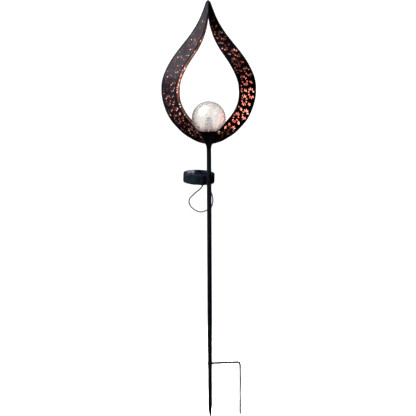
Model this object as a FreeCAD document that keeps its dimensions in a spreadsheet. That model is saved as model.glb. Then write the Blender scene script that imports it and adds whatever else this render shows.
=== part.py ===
import FreeCAD, Part
import Sketcher
import math
import os
from FreeCAD import Placement, Rotation, Vector

# A solar garden light on a stake: a flame-shaped head of two pierced metal
# sheets round a glass globe, on a round pole with a step-in foot, and a round
# solar drum behind the pole, wired to the lamp by a short free cable.
# Frame: +Z up, the front faces -Y, the origin is on the stake at ground level.

doc = FreeCAD.newDocument("solar_torch")
sheet = doc.addObject("Spreadsheet::Sheet", "sizes")

SIZES = [
    # pole and stake
    ("pole_diameter", 11.0),
    ("pole_wall", 1.0),
    ("tip_depth", 132.0),
    ("tip_length", 31.0),
    ("tip_end_diameter", 4.0),
    ("bead_height", 9.2),
    ("bead_stand_out", 0.6),
    ("pole_joint_height", 250.0),
    ("neck_height", 535.0),
    # step-in foot
    ("foot_rod_diameter", 6.0),
    ("foot_reach", 74.0),
    ("foot_heading", 10.0),
    ("foot_bend", 7.0),
    ("foot_tip_depth", 131.0),
    ("foot_weld_size", 1.4),
    # spigot that joins the two lengths of pole
    ("spigot_in_lower", 40.0),
    ("spigot_in_upper", 40.0),
    ("spigot_clearance", 0.06),
    ("spigot_bore", 5.4),
    ("dimple_depth", 1.2),
    # flame-shaped head
    ("head_width", 218.4),
    ("head_height", 333.0),
    ("head_depth", 92.0),
    ("head_opening_width", 144.6),
    ("head_opening_bottom", 32.0),
    ("head_opening_top", 304.0),
    ("head_sheet", 0.8),
    ("neck_collar", 6.0),
    ("neck_gap", 0.1),
    ("outer_rim_width", 2.0),
    ("outer_rim_depth", 3.4),
    ("hem_width", 3.0),
    ("hem_thickness", 1.2),
    # lamp
    ("globe_diameter", 80.0),
    ("globe_wall", 2.0),
    ("globe_mouth", 34.0),
    ("globe_seat_height", 26.2),
    ("cup_wall", 1.6),
    ("cup_diameter", 46.0),
    ("cup_base_diameter", 15.0),
    ("seal_width", 2.0),
    ("seal_height", 1.2),
    ("lamp_base_thickness", 2.0),
    ("dome_diameter", 16.0),
    ("dome_wall", 1.2),
    ("dome_top_height", 65.0),
    ("dome_flange", 3.0),
    ("board_diameter", 22.0),
    ("board_thickness", 1.6),
    ("lamp_diameter", 5.0),
    ("lamp_length", 8.6),
    ("lamp_base_screw", 2.2),
    ("lamp_screw_circle", 29.0),
    # wiring
    ("cable_diameter", 3.2),
    ("cable_hole_below_panel", 23.5),
    ("grommet_bore_clearance", 0.05),
    ("grommet_wall", 0.9),
    ("grommet_flange", 1.3),
    ("grommet_stand_out", 1.4),
    # bracket on the pole
    ("panel_heading", 120.0),
    ("panel_below_neck", 85.5),
    ("panel_tilt_at_rest", 6.0),
    ("saddle_thickness", 2.2),
    ("saddle_height", 18.0),
    ("saddle_screw", 2.4),
    ("saddle_screw_spacing", 11.0),
    ("pivot_stand_off", 5.6),
    ("lug_diameter", 6.4),
    ("lug_width", 6.0),
    ("pivot_bolt", 3.0),
    ("pivot_clearance", 0.05),
    ("ear_gap", 0.15),
    ("ear_thickness", 3.0),
    ("ear_root", 1.2),
    ("bolt_head_diameter", 5.5),
    ("bolt_head_height", 2.0),
    ("nut_width", 7.0),
    ("nut_height", 2.4),
    ("bolt_end", 0.8),
    # solar drum
    ("drum_diameter", 76.0),
    ("drum_gap", 4.4),
    ("drum_base_height", 17.5),
    ("drum_cover_height", 6.5),
    ("drum_wall", 2.0),
    ("drum_floor", 2.0),
    ("drum_rounding", 2.5),
    ("cover_rim_width", 7.0),
    ("window_thickness", 1.5),
    ("window_ledge", 2.0),
    ("cell_corner_clearance", 0.715),
    ("cell_thickness", 1.0),
    ("drum_seal_width", 1.0),
    ("drum_seal_height", 0.8),
    ("drum_seal_gap", 0.1),
    ("drum_screw", 2.6),
    ("drum_screw_inset", 8.0),
    ("screw_head_height", 1.2),
    ("post_diameter", 6.5),
    ("battery_diameter", 14.5),
    ("battery_length", 48.0),
    ("battery_post_gap", 2.71),
    ("battery_clearance", 0.25),
    ("contact_thickness", 0.6),
    ("door_length", 50.0),
    ("door_width", 16.0),
    ("door_gap", 0.2),
    ("door_lip", 1.5),
    ("circuit_post_gap", 0.963),
    ("circuit_width", 16.0),
    ("circuit_thickness", 1.6),
    ("gland_inset", 21.0),
    ("gland_wall", 1.5),
    ("gland_flange", 1.6),
    ("gland_length", 4.0),
    ("switch_offset", 23.0),
    ("switch_length", 12.0),
    ("switch_width", 6.0),
    ("switch_height", 5.0),
    ("slider_length", 4.0),
    ("slider_width", 3.0),
    ("slider_travel", 3.0),
    ("slider_stand_out", 1.4),
    ("slider_clearance", 0.15),
]
for row, (alias, value) in enumerate(SIZES, start=1):
    sheet.set("A%d" % row, alias)
    sheet.set("B%d" % row, str(value))
    sheet.setAlias("B%d" % row, alias)
doc.recompute()

PARTS = []


def size(expression):
    """The value in millimetres, or degrees, of a sum of named sizes."""
    if not isinstance(expression, str):
        return float(expression)
    value = sheet.evalExpression(expression)
    return float(getattr(value, "Value", value))


def bind(thing, prop, expression):
    """Ties a property of an object to the sheet of sizes."""
    if isinstance(expression, str):
        bound = expression
        for alias, _ in SIZES_BY_LENGTH:
            bound = bound.replace("@" + alias, "sizes." + alias)
        thing.setExpression(prop, bound)
    else:
        setattr(thing, prop, expression)


SIZES_BY_LENGTH = sorted(SIZES, key=lambda pair: -len(pair[0]))


def plain(expression):
    """The same sum as the sheet itself reads it."""
    if not isinstance(expression, str):
        return expression
    return expression.replace("@", "")


def at(x=0.0, y=0.0, z=0.0, rotation=None):
    base = Vector(size(plain(x)), size(plain(y)), size(plain(z)))
    return Placement(base, rotation or Rotation())


ALONG_X = Rotation(Vector(0, 1, 0), 90)
ALONG_Y = Rotation(Vector(1, 0, 0), -90)
DOWN = Rotation(Vector(1, 0, 0), 180)


def cylinder(name, radius, height, place=None):
    thing = doc.addObject("Part::Cylinder", name)
    bind(thing, "Radius", radius)
    bind(thing, "Height", height)
    thing.Placement = place or Placement()
    return thing


def box(name, length, width, height, place=None):
    thing = doc.addObject("Part::Box", name)
    bind(thing, "Length", length)
    bind(thing, "Width", width)
    bind(thing, "Height", height)
    thing.Placement = place or Placement()
    return thing


def cut(name, base, tools, place=None):
    tool = tools[0]
    if len(tools) > 1:
        tool = doc.addObject("Part::MultiFuse", name + "_tools")
        tool.Shapes = tools
    thing = doc.addObject("Part::Cut", name)
    thing.Base = base
    thing.Tool = tool
    thing.Placement = place or Placement()
    return thing


def fuse(name, shapes, place=None):
    thing = doc.addObject("Part::MultiFuse", name)
    thing.Shapes = shapes
    thing.Refine = True
    thing.Placement = place or Placement()
    return thing


def together(name, shapes, place=None):
    """Several separate solids of one kind, kept as one sub-part."""
    thing = doc.addObject("Part::Compound", name)
    thing.Links = shapes
    thing.Placement = place or Placement()
    return thing


def turned(name, profile, place=None):
    """A PartDesign body turned round Z from a closed profile of (radius, height) corners."""
    body = doc.addObject("PartDesign::Body", name)
    plane = [f for f in body.Origin.OriginFeatures if f.Role == "XZ_Plane"][0]
    sketch = body.newObject("Sketcher::SketchObject", name + "_profile")
    sketch.AttachmentSupport = [(plane, "")]
    sketch.MapMode = "FlatFace"
    corners = [Vector(size(plain(r)), size(plain(h)), 0) for r, h in profile]
    count = len(corners)
    for i in range(count):
        sketch.addGeometry(Part.LineSegment(corners[i], corners[(i + 1) % count]))
    add_constraints(sketch, profile)
    turn = body.newObject("PartDesign::Revolution", name + "_turn")
    turn.Profile = sketch
    turn.ReferenceAxis = (sketch, ["V_Axis"])
    turn.Angle = 360.0
    body.Tip = turn
    body.Placement = place or Placement()
    return body


def add_constraints(sketch, profile):
    count = len(profile)
    from_sketcher = Sketcher.Constraint
    for i in range(count):
        sketch.addConstraint(from_sketcher("Coincident", i, 2, (i + 1) % count, 1))
    for i, (radius, height) in enumerate(profile):
        for kind, axis, wanted in (("DistanceX", -2, radius), ("DistanceY", -1, height)):
            value = size(plain(wanted))
            if not isinstance(wanted, str) and value == 0:
                sketch.addConstraint(from_sketcher("PointOnObject", i, 1, axis))
                continue
            n = sketch.addConstraint(from_sketcher(kind, -1, 1, i, 1, value))
            if isinstance(wanted, str):
                bind(sketch, "Constraints[%d]" % n, wanted)


def own_shape(name, shape, place=None):
    """A sub-part whose surface no primitive makes, read from the sheet by code."""
    thing = doc.addObject("Part::Feature", name)
    thing.Shape = shape
    thing.Placement = place or Placement()
    return thing


def part(thing, label):
    thing.Label = label
    PARTS.append((thing, label))
    return thing


# ---------------------------------------------------------------- lower stake
POLE = "@pole_diameter / 2"
BORE = "@pole_diameter / 2 - @pole_wall"
SPIGOT = "@pole_diameter / 2 - @pole_wall - @spigot_clearance"
PIVOT = "(@pole_diameter / 2 + @pivot_stand_off)"
tip = "@tip_depth"
spigot_foot = "@pole_joint_height - @spigot_in_lower"
lower_tube = turned(
    "lower_tube_body",
    [
        (0.0, 0.0),
        ("@tip_end_diameter / 2", 0.0),
        (POLE, "@tip_length"),
        (POLE, "@tip_depth"),
        (POLE + " + @bead_stand_out", "@tip_depth + @bead_height * 0.25"),
        (POLE + " + @bead_stand_out", "@tip_depth + @bead_height * 0.75"),
        (POLE, "@tip_depth + @bead_height"),
        (POLE, "@tip_depth + @pole_joint_height"),
        (BORE, "@tip_depth + @pole_joint_height"),
        (BORE, "@tip_depth + " + spigot_foot),
        (BORE + " - @dimple_depth", "@tip_depth + " + spigot_foot + " - @dimple_depth"),
        (BORE, "@tip_depth + " + spigot_foot + " - @dimple_depth * 2"),
        (BORE, "@tip_length + @pole_wall * 3"),
        (0.0, "@tip_length"),
    ],
    at(0, 0, "0 - @tip_depth"),
)
part(lower_tube, "lower_tube")

foot_frame = Placement(Vector(), Rotation(Vector(0, 0, 1), size("foot_heading")))
foot_height = "@bead_height / 2"
rod = "@foot_rod_diameter / 2"
arm = cylinder(
    "foot_arm",
    rod,
    "@foot_reach - @foot_bend - @pole_diameter / 2",
    at(POLE, 0, foot_height, ALONG_X),
)
bend = doc.addObject("Part::Torus", "foot_bend_round")
bind(bend, "Radius1", "@foot_bend")
bind(bend, "Radius2", rod)
bend.Angle3 = 90.0
bend.Placement = at(
    "@foot_reach - @foot_bend",
    0,
    foot_height + " - @foot_bend",
    Rotation(Vector(1, 0, 0), 90),
)
prong = cylinder(
    "foot_prong",
    rod,
    "@foot_tip_depth + " + foot_height + " - @foot_bend - @foot_rod_diameter",
    at("@foot_reach", 0, "0 - @foot_tip_depth + @foot_rod_diameter"),
)
prong_point = doc.addObject("Part::Cone", "foot_point")
bind(prong_point, "Radius1", "@foot_rod_diameter / 6")
bind(prong_point, "Radius2", rod)
bind(prong_point, "Height", "@foot_rod_diameter")
prong_point.Placement = at("@foot_reach", 0, "0 - @foot_tip_depth")
foot_whole = fuse("foot_whole", [arm, bend, prong, prong_point])
tube_space = cylinder(
    "foot_tube_space",
    POLE + " + @bead_stand_out",
    "@bead_height * 4",
    at(0, 0, "0 - @bead_height * 1.5"),
)
part(cut("step_foot_solid", foot_whole, [tube_space], foot_frame), "step_foot")

weld_cone = doc.addObject("Part::Cone", "weld_cone")
bind(weld_cone, "Radius1", rod + " + @foot_weld_size")
bind(weld_cone, "Radius2", rod + " + 0.05")
bind(weld_cone, "Height", "@foot_weld_size + @pole_diameter / 2")
weld_cone.Placement = at(0, 0, foot_height, ALONG_X)
weld_rod_space = cylinder(
    "weld_rod_space", rod, "@foot_reach / 2", at(0, 0, foot_height, ALONG_X)
)
weld_tube_space = turned(
    "weld_tube_space",
    [
        (0.0, 0.0),
        (POLE, 0.0),
        (POLE, "@bead_height * 2"),
        (POLE + " + @bead_stand_out", "@bead_height * 2.25"),
        (POLE + " + @bead_stand_out", "@bead_height * 2.75"),
        (POLE, "@bead_height * 3"),
        (POLE, "@bead_height * 5"),
        (0.0, "@bead_height * 5"),
    ],
    at(0, 0, "0 - @bead_height * 2"),
)
part(
    cut("foot_weld_solid", weld_cone, [weld_rod_space, weld_tube_space], foot_frame), "foot_weld"
)

# ------------------------------------------------------------ spigot coupling
coupler = turned(
    "pole_coupler_body",
    [
        ("@spigot_bore / 2", 0.0),
        (SPIGOT + " - 0.6", 0.0),
        (SPIGOT, 1.2),
        (SPIGOT, "@spigot_in_lower + @spigot_in_upper - 1.2"),
        (SPIGOT + " - 0.6", "@spigot_in_lower + @spigot_in_upper"),
        ("@spigot_bore / 2", "@spigot_in_lower + @spigot_in_upper"),
    ],
    at(0, 0, spigot_foot),
)
part(coupler, "pole_coupler")

# ------------------------------------------------------------- upper section
# the solar unit hangs this far below the head, and the cable enters the pole below it
PANEL_HEIGHT = "(@neck_height - @panel_below_neck)"
CABLE_HOLE = "(@neck_height - @panel_below_neck - @cable_hole_below_panel)"
upper_length = "@neck_height - @pole_joint_height + @cup_wall * 2"
upper_outer = cylinder("upper_outer", POLE, upper_length, at(0, 0, "@pole_joint_height"))
upper_bore = cylinder("upper_bore", BORE, upper_length, at(0, 0, "@pole_joint_height"))
hole = cylinder(
    "cable_hole",
    "@cable_diameter / 2 + @grommet_bore_clearance + @grommet_wall",
    "@pole_diameter",
    at(0, 0, CABLE_HOLE, ALONG_Y),
)
heading = Rotation(Vector(0, 0, 1), size("panel_heading"))
bracket_frame = Placement(Vector(0, 0, size(plain(PANEL_HEIGHT))), heading)


def in_bracket(place):
    return bracket_frame.multiply(place)


screw_holes = []
for number, side in enumerate((-1, 1)):
    screw_holes.append(
        cylinder(
            "pole_screw_hole_%d" % number,
            "@saddle_screw / 2",
            "@pole_diameter",
            in_bracket(at(0, 0, "@saddle_screw_spacing / 2 * %d" % side, ALONG_X)),
        )
    )
part(
    cut("upper_tube_solid", upper_outer, [upper_bore, hole] + screw_holes), "upper_tube"
)

grommet_hole = "@cable_diameter / 2 + @grommet_bore_clearance"
grommet_neck = cylinder(
    "grommet_neck",
    grommet_hole + " + @grommet_wall",
    POLE + " + @grommet_stand_out - (" + BORE + ") * 0.8",
    at(0, BORE + " - (" + BORE + ") * 0.2", CABLE_HOLE, ALONG_Y),
)
grommet_head = cylinder(
    "grommet_head",
    grommet_hole + " + @grommet_wall + @grommet_flange",
    POLE + " * 0.3 + @grommet_stand_out",
    at(0, POLE + " * 0.7", CABLE_HOLE, ALONG_Y),
)
grommet_pole_space = cylinder(
    "grommet_pole_space", POLE, "@pole_diameter * 2", at(0, 0, CABLE_HOLE + " - @pole_diameter")
)
grommet_head_cut = cut("grommet_head_cut", grommet_head, [grommet_pole_space])
grommet_both = fuse("grommet_both", [grommet_neck, grommet_head_cut])
grommet_bore = cylinder(
    "grommet_bore", grommet_hole, "@pole_diameter * 2", at(0, 0, CABLE_HOLE, ALONG_Y)
)
part(cut("cable_grommet_solid", grommet_both, [grommet_bore]), "cable_grommet")

# ------------------------------------------------------------------- the head
neck = size("neck_height")
half_width = size("head_width") / 2
head_height = size("head_height")
half_depth = size("head_depth") / 2
pole = size("pole_diameter") / 2

# The flame outline as shares of its half width and its height, from neck to tip.
OUTLINE = [
    (0.080, 0.006),
    (0.214, 0.0243),
    (0.354, 0.0456),
    (0.550, 0.0877),
    (0.675, 0.128),
    (0.790, 0.1715),
    (0.922, 0.2557),
    (0.984, 0.327),
    (1.000, 0.3825),
    (0.986, 0.446),
    (0.926, 0.5075),
    (0.790, 0.5915),
    (0.600, 0.675),
    (0.396, 0.758),
    (0.228, 0.8405),
    (0.164, 0.881),
    (0.108, 0.925),
    (0.060, 0.966),
    (0.032, 0.989),
]
# The opening as shares of its half width, and of its height from its bottom edge.
OPENING = [
    (0.130, 0.001),
    (0.263, 0.0058),
    (0.430, 0.0388),
    (0.595, 0.0883),
    (0.766, 0.1456),
    (0.881, 0.198),
    (0.961, 0.2504),
    (1.000, 0.3203),
    (0.993, 0.3737),
    (0.980, 0.4038),
    (0.927, 0.4542),
    (0.846, 0.5057),
    (0.746, 0.5552),
    (0.625, 0.6076),
    (0.492, 0.6581),
    (0.365, 0.7085),
    (0.260, 0.760),
    (0.174, 0.8104),
    (0.112, 0.8599),
    (0.061, 0.9114),
    (0.033, 0.957),
]
# How far the sheets stand from the middle plane, as shares of the head's half
# depth, along the opening's edge from its bottom to its top.
DEPTH = [
    (0.0, 0.76),
    (0.12, 0.82),
    (0.25, 0.94),
    (0.38, 1.0),
    (0.58, 1.0),
    (0.70, 0.93),
    (0.80, 0.80),
    (0.90, 0.60),
    (1.0, 0.42),
]


def between(table, where):
    for (low, first), (high, second) in zip(table, table[1:]):
        if where <= high:
            return first + (second - first) * (where - low) / (high - low)
    return table[-1][1]


def smooth(points):
    curve = Part.BSplineCurve()
    curve.interpolate(points)
    return curve.toShape()


STATIONS = 25
neck_radius = pole + size("neck_gap")
collar = size("neck_collar")
opening_bottom = size("head_opening_bottom")
opening_height = size("head_opening_top") - opening_bottom
opening_half = size("head_opening_width") / 2
outer_path = [Vector(neck_radius, 0, -collar)]
outer_path += [Vector(neck_radius * 1.06, 0, -collar * 0.5)]
outer_path += [Vector(x * half_width, 0, z * head_height) for x, z in OUTLINE]
outer_path += [Vector(0, 0, head_height)]
inner_path = [Vector(0, 0, opening_bottom)]
inner_path += [
    Vector(x * opening_half, 0, opening_bottom + z * opening_height) for x, z in OPENING
]
inner_path += [Vector(0, 0, opening_bottom + opening_height)]
outer_even = smooth(outer_path).discretize(Number=STATIONS)
inner_even = smooth(inner_path).discretize(Number=STATIONS + 1)
inner_deep = []
for n, point in enumerate(inner_even):
    deep = half_depth * between(DEPTH, n / STATIONS)
    inner_deep.append(Vector(point.x, -deep, point.z))
# the flat bottom edge belongs to the neck, the rest to the limbs
neck_inner = [inner_deep[0], inner_deep[1]]
limb_inner = inner_deep[1:]
lift = Placement(Vector(0, 0, neck), Rotation())


def in_plane_normals(points, towards):
    """Unit directions across a path, in the XZ plane, on the side asked for."""
    found = []
    for n, point in enumerate(points):
        before = points[max(n - 1, 0)]
        after = points[min(n + 1, len(points) - 1)]
        along = after - before
        along = Vector(along.x, 0, along.z)
        along.normalize()
        found.append(Vector(along.z, 0, -along.x) * towards)
    return found


def mirrored(shape, normal):
    return shape.mirror(Vector(0, 0, 0), normal)


def whole_from_half(half):
    both = half.fuse(mirrored(half, Vector(1, 0, 0)))
    return both.removeSplitter()


# slope of the sheets: measured across the strip, the depth over the slant
reach = (outer_even[10] - Vector(inner_deep[11].x, 0, inner_deep[11].z)).Length
slant = math.hypot(reach, half_depth)
cover = size("head_sheet") * slant / reach
parameters = [float(n) for n in range(STATIONS)]


def even_curve(points):
    curve = Part.BSplineCurve()
    curve.interpolate(Points=points, Parameters=parameters[: len(points)])
    return curve.toShape()


limb_face = Part.makeRuledSurface(even_curve(outer_even), even_curve(limb_inner))
limb = limb_face.extrude(Vector(0, -cover, 0))
quarter = Part.Arc(
    Vector(0, -neck_radius, -collar),
    Vector(neck_radius * math.sin(0.7854), -neck_radius * math.cos(0.7854), -collar),
    Vector(neck_radius, 0, -collar),
).toShape()
neck_edge = Part.LineSegment(neck_inner[0], neck_inner[1]).toShape()
neck_face = Part.makeRuledSurface(quarter, neck_edge)
neck_piece = neck_face.extrude(Vector(0, -cover, 0))
front_half = limb.fuse(neck_piece)
front_sheet = whole_from_half(front_half)
part(own_shape("front_panel_solid", front_sheet, lift), "front_panel")
back_sheet = mirrored(front_sheet, Vector(0, 1, 0))
part(own_shape("back_panel_solid", back_sheet, lift), "back_panel")

# outer rim: a strip along the seam of the two sheets, from the neck to the tip
rim_width = size("outer_rim_width")
rim_depth = size("outer_rim_depth")
rim_in = [p for p in outer_even[1:-1]]
rim_in += [Vector(0, 0, outer_even[-1].z)]
normals = in_plane_normals(rim_in, 1)
normals[-1] = Vector(0, 0, 1)
rim_out = [p + n * rim_width for p, n in zip(rim_in, normals)]
rim_face = Part.makeRuledSurface(even_curve(rim_in), even_curve(rim_out))
rim_face.translate(Vector(0, -rim_depth / 2, 0))
rim_half = rim_face.extrude(Vector(0, rim_depth, 0))
rim_whole = whole_from_half(rim_half)
part(own_shape("outer_rim_solid", rim_whole, lift), "outer_rim")

# inner rims: the hems folded back over the outside of each sheet's inner edge
hem_width = size("hem_width")
hem_thickness = size("hem_thickness")


def hem():
    across = [Vector(0, -neck_radius, -collar)] + outer_even
    far = []
    for edge, foot in zip(inner_deep, across):
        slope = foot - edge
        slope.normalize()
        far.append(edge + slope * hem_width)
    places = [float(n) for n in range(len(far))]
    curves = []
    for points in (inner_deep, far):
        curve = Part.BSplineCurve()
        curve.interpolate(Points=points, Parameters=places)
        curves.append(curve.toShape())
    face = Part.makeRuledSurface(curves[0], curves[1])
    face.translate(Vector(0, -cover - 0.02, 0))
    half = face.extrude(Vector(0, -hem_thickness, 0))
    return whole_from_half(half)


front_edge = hem()
part(own_shape("front_inner_rim_solid", front_edge, lift), "front_inner_rim")
back_edge = mirrored(front_edge, Vector(0, 1, 0))
part(own_shape("back_inner_rim_solid", back_edge, lift), "back_inner_rim")

# --------------------------------------------------------------------- lamp
globe_r = size("globe_diameter") / 2
mouth_r = size("globe_mouth") / 2
seat = size("globe_seat_height")
globe_rise = math.sqrt(globe_r**2 - mouth_r**2)
globe_centre = neck + seat + globe_rise
wall = size("globe_wall")
ball = doc.addObject("Part::Sphere", "globe_ball")
bind(ball, "Radius", "@globe_diameter / 2")
ball.Placement = Placement(Vector(0, 0, globe_centre), Rotation())
hollow = doc.addObject("Part::Sphere", "globe_hollow")
bind(hollow, "Radius", "@globe_diameter / 2 - @globe_wall")
hollow.Placement = Placement(Vector(0, 0, globe_centre), Rotation())
mouth = cylinder(
    "globe_mouth_space",
    "@globe_mouth / 2",
    "@globe_diameter / 2",
    Placement(Vector(0, 0, globe_centre - size("globe_diameter") / 2), Rotation()),
)
below = box(
    "globe_below",
    "@globe_diameter",
    "@globe_diameter",
    "@globe_diameter",
    Placement(
        Vector(-globe_r, -globe_r, neck + seat - size("globe_diameter")), Rotation()
    ),
)
part(cut("glass_globe_solid", ball, [hollow, mouth, below]), "glass_globe")

cup_top = "@globe_seat_height"
cup_slope = "(@cup_diameter / 2 - @cup_base_diameter / 2)"
ledge = "@globe_seat_height - @seal_height"
lamp_cup = turned(
    "lamp_cup_body",
    [
        (POLE, 0.0),
        ("@cup_base_diameter / 2", 0.0),
        ("@cup_diameter / 2", ledge),
        ("@cup_diameter / 2", "@globe_seat_height + @seal_height"),
        ("@cup_diameter / 2 - @cup_wall", "@globe_seat_height + @seal_height"),
        ("@cup_diameter / 2 - @cup_wall", ledge),
        ("@globe_mouth / 2 - 1", ledge),
        ("@globe_mouth / 2 - 1", ledge + " - @lamp_base_thickness"),
        ("@cup_base_diameter / 2 + @cup_wall * 2", "@cup_wall * 4"),
        (POLE, "@cup_wall * 3"),
    ],
    at(0, 0, "@neck_height"),
)
part(lamp_cup, "lamp_cup")

seal_r = mouth_r + wall / 2
part(
    turned(
        "base_seal_body",
        [
            ("@globe_mouth / 2", 0.0),
            ("@globe_mouth / 2 + @seal_width", 0.0),
            ("@globe_mouth / 2 + @seal_width", "@seal_height"),
            ("@globe_mouth / 2", "@seal_height"),
        ],
        at(0, 0, "@neck_height + " + ledge),
    ),
    "base_seal",
)

# the lamp base closes the cup and carries the board, the lamps and the dome
base_low = "@neck_height + " + ledge + " - @lamp_base_thickness"
lamp_base_disc = turned(
    "lamp_base_disc",
    [
        ("@cable_diameter / 2 + 0.4", 0.0),
        ("@globe_mouth / 2 - 1.1", 0.0),
        ("@globe_mouth / 2 - 1.1", "@lamp_base_thickness"),
        ("@cable_diameter / 2 + 0.4", "@lamp_base_thickness"),
    ],
    at(0, 0, base_low),
)
part(lamp_base_disc, "lamp_base")

board_low = "@neck_height + " + ledge
board_disc = turned(
    "led_board_disc",
    [
        ("@cable_diameter / 2 + 0.4", 0.0),
        ("@board_diameter / 2", 0.0),
        ("@board_diameter / 2", "@board_thickness"),
        ("@cable_diameter / 2 + 0.4", "@board_thickness"),
    ],
    at(0, 0, board_low),
)
part(board_disc, "led_board")

lamp_low = "@neck_height + " + ledge + " + @board_thickness"
lamps = []
for number in range(3):
    turn = Rotation(Vector(0, 0, 1), 120 * number + 90)
    spot = turn.multVec(Vector(size("dome_diameter") / 2 - size("dome_wall") - 3.0, 0, 0))
    lamps.append(
        turned(
            "led_%d" % number,
            [
                (0.0, 0.0),
                ("@lamp_diameter / 2", 0.0),
                ("@lamp_diameter / 2", "@lamp_length * 0.7"),
                ("@lamp_diameter * 0.42", "@lamp_length * 0.86"),
                ("@lamp_diameter * 0.22", "@lamp_length * 0.97"),
                (0.0, "@lamp_length"),
            ],
            Placement(Vector(spot.x, spot.y, size(plain(lamp_low))), Rotation()),
        )
    )
part(together("led_lamps_group", lamps), "led_lamps")

dome_r = "@dome_diameter / 2"
dome_in = "@dome_diameter / 2 - @dome_wall"
dome_rise = "(@dome_top_height - (" + ledge + " + @board_thickness) - @dome_diameter / 2)"
dome_profile = [
    (dome_in, 0.0),
    (dome_r + " + @dome_flange", 0.0),
    (dome_r + " + @dome_flange", "@dome_wall"),
    (dome_r, "@dome_wall"),
    (dome_r, dome_rise),
]
for degrees in (20, 40, 60, 75):
    c = math.cos(math.radians(degrees))
    s = math.sin(math.radians(degrees))
    dome_profile.append(
        ("(%s) * %.4f" % (dome_r, c), dome_rise + " + (%s) * %.4f" % (dome_r, s))
    )
dome_profile.append((0.0, dome_rise + " + " + dome_r))
dome_profile.append((0.0, dome_rise + " + " + dome_in))
for degrees in (75, 60, 40, 20):
    c = math.cos(math.radians(degrees))
    s = math.sin(math.radians(degrees))
    dome_profile.append(
        ("(%s) * %.4f" % (dome_in, c), dome_rise + " + (%s) * %.4f" % (dome_in, s))
    )
dome_profile.append((dome_in, dome_rise))
part(turned("led_dome_body", dome_profile, at(0, 0, lamp_low)), "led_dome")

lamp_screws = []
for number in range(3):
    turn = Rotation(Vector(0, 0, 1), 120 * number + 30)
    spot = turn.multVec(Vector(size("board_diameter") / 2 + 2.2, 0, 0))
    lamp_screws.append(
        turned(
            "lamp_screw_%d" % number,
            [
                (0.0, 0.0),
                ("@lamp_base_screw * 0.8", 0.0),
                ("@lamp_base_screw * 0.8", 0.8),
                ("@lamp_base_screw * 0.5", 1.2),
                (0.0, 1.2),
            ],
            Placement(Vector(spot.x, spot.y, size(plain(board_low))), Rotation()),
        )
    )
part(together("base_screws_group", lamp_screws), "base_screws")

pole_wire = cylinder(
    "pole_wire_run",
    "@cable_diameter / 2",
    "@neck_height + " + ledge + " - " + CABLE_HOLE + " - @cable_diameter",
    at(0, 0, CABLE_HOLE + " + @cable_diameter"),
)
part(pole_wire, "pole_wire")

# ---------------------------------------------------- bracket on the pole
saddle_outer = cylinder(
    "saddle_outer",
    POLE + " + @saddle_thickness",
    "@saddle_height",
    in_bracket(at(0, 0, "0 - @saddle_height / 2")),
)
saddle_inner = cylinder(
    "saddle_inner", POLE, "@saddle_height * 2", in_bracket(at(0, 0, "0 - @saddle_height"))
)
saddle_front = box(
    "saddle_front",
    "@pole_diameter * 2",
    "@pole_diameter * 3",
    "@saddle_height * 2",
    in_bracket(at("@pole_diameter * (0 - 1.85)", "@pole_diameter * (0 - 1.5)", "0 - @saddle_height")),
)
lug_round = cylinder(
    "lug_round",
    "@lug_diameter / 2",
    "@lug_width",
    in_bracket(at(PIVOT, "0 - @lug_width / 2", 0, ALONG_Y)),
)
lug_web = box(
    "lug_web",
    "@pivot_stand_off",
    "@lug_width",
    "@lug_diameter",
    in_bracket(at(POLE, "0 - @lug_width / 2", "0 - @lug_diameter / 2")),
)
saddle_whole = fuse("saddle_whole", [saddle_outer, lug_round, lug_web])
lug_bore = cylinder(
    "lug_bore",
    "@pivot_bolt / 2 + @pivot_clearance",
    "@lug_width * 2",
    in_bracket(at(PIVOT, "0 - @lug_width", 0, ALONG_Y)),
)
saddle_screw_bores = [
    cylinder(
        "saddle_screw_bore_%d" % number,
        "@saddle_screw / 2",
        "@pole_diameter * 2",
        in_bracket(at(0, 0, "@saddle_screw_spacing / 2 * %d" % side, ALONG_X)),
    )
    for number, side in enumerate((-1, 1))
]
part(
    cut(
        "panel_bracket_solid",
        saddle_whole,
        [saddle_inner, saddle_front, lug_bore] + saddle_screw_bores,
    ),
    "panel_bracket",
)
saddle_screws = []
for number, side in enumerate((-1, 1)):
    saddle_screws.append(
        turned(
            "saddle_screw_%d" % number,
            [
                (0.0, 0.0),
                ("@saddle_screw / 2", 0.0),
                ("@saddle_screw / 2", "@pole_wall + @saddle_thickness + 1"),
                ("@saddle_screw * 0.95", "@pole_wall + @saddle_thickness + 1"),
                ("@saddle_screw * 0.85", "@pole_wall + @saddle_thickness + 1.9"),
                (0.0, "@pole_wall + @saddle_thickness + 2.1"),
            ],
            in_bracket(
                at(
                    BORE + " - 1",
                    0,
                    "(@saddle_screw_spacing / 2) * %d" % side,
                    ALONG_X,
                )
            ),
        )
    )
part(together("bracket_screws_group", saddle_screws), "bracket_screws")

# --------------------------------------------------------------- solar drum
# Drum frame: origin on the pivot, +X out from the pole, +Z along the drum axis.
tilt = Rotation(Vector(0, 1, 0), -size("panel_tilt_at_rest"))
drum_frame = bracket_frame.multiply(
    Placement(Vector(size(plain(PIVOT)), 0, 0), tilt)
)
DRUM = "@drum_diameter / 2"
CENTRE = "(@drum_gap + @drum_diameter / 2)"
HALF = "((@drum_base_height + @drum_cover_height) / 2)"
WINDOW = "(@drum_diameter / 2 - @cover_rim_width)"
SCREW_RING = "(@drum_diameter / 2 - @drum_screw_inset)"
# the four posts stand at 45 degrees, so this far from the middle along X and Y
POST_SPOT = "((@drum_diameter / 2 - @drum_screw_inset) * 0.7071068)"


def in_drum(x=0.0, y=0.0, z=0.0, rotation=None):
    return drum_frame.multiply(at(x, y, z, rotation))


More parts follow.
